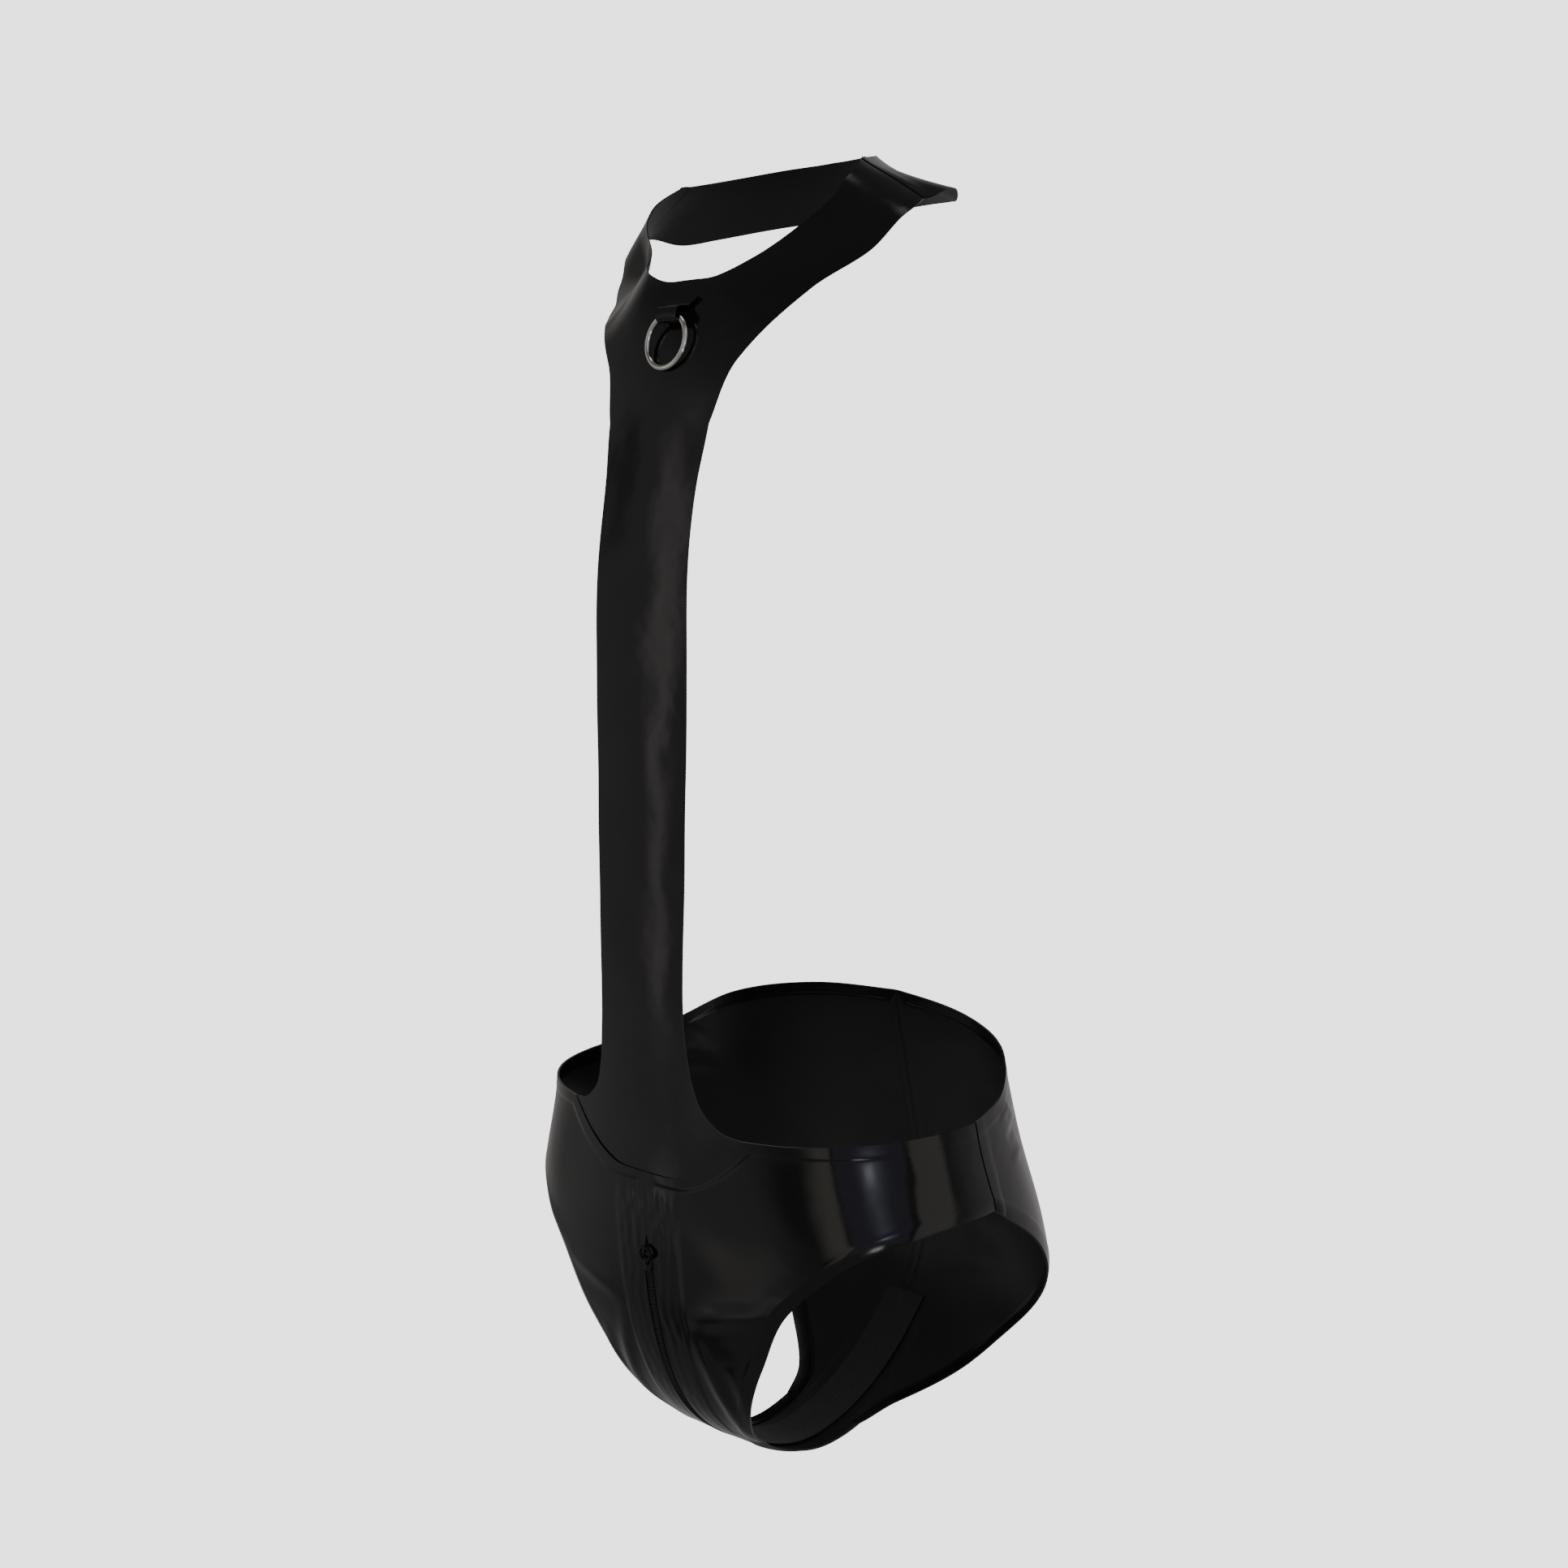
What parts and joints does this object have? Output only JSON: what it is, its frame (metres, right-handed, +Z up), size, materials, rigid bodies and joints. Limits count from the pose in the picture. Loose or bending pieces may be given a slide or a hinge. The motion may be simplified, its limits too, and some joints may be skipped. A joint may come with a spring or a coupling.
{
  "type": "latex wrestling singlet",
  "caption": "Black latex wrestling singlet in its worn, hollow form: brief with a centre zip, one narrow front panel, halter yoke round the neck and a steel ring in a tab.",
  "frame": {"origin": "middle of the neck opening at the height of the shoulder crest, where the wearer's neck and shoulders hold the garment", "axes": "+X to the wearer's left, -Y out of the front, +Z up"},
  "size_m": [0.2778, 0.211, 0.6655],
  "materials": {
    "latex": "polished black latex sheet, glossy",
    "ring_steel": "polished steel ring",
    "zip_tape": "black woven zip tape",
    "zip_coil": "black nylon coil",
    "slider_metal": "black lacquered zip slider and loop"
  },
  "bodies": {
    "garment": {"front_panel": "latex", "back_yoke": "latex", "brief_front_left": "latex", "brief_front_right": "latex", "brief_back_left": "latex", "brief_back_right": "latex", "leg_trim_left": "latex", "leg_trim_right": "latex", "waist_trim_left": "latex", "waist_trim_right": "latex", "ring_tab": "latex", "zip_tape_left": "zip_tape", "zip_tape_right": "zip_tape", "zip_coil": "zip_coil", "zip_slider": "slider_metal"},
    "ring": {"ring": "ring_steel"},
    "zip_pull": {"zip_pull": "slider_metal"}
  },
  "joints": [
    {"name": "ring_swing", "type": "hinge", "parent": "garment", "child": "ring", "pos_m": [0, -0.08, -0.07266], "axis": [-1, 0, 0], "range_deg": [0, 150]},
    {"name": "pull_swing", "type": "hinge", "parent": "garment", "child": "zip_pull", "pos_m": [0, -0.0946, -0.5411], "axis": [1, 0, 0], "range_deg": [0, 150]}
  ]
}
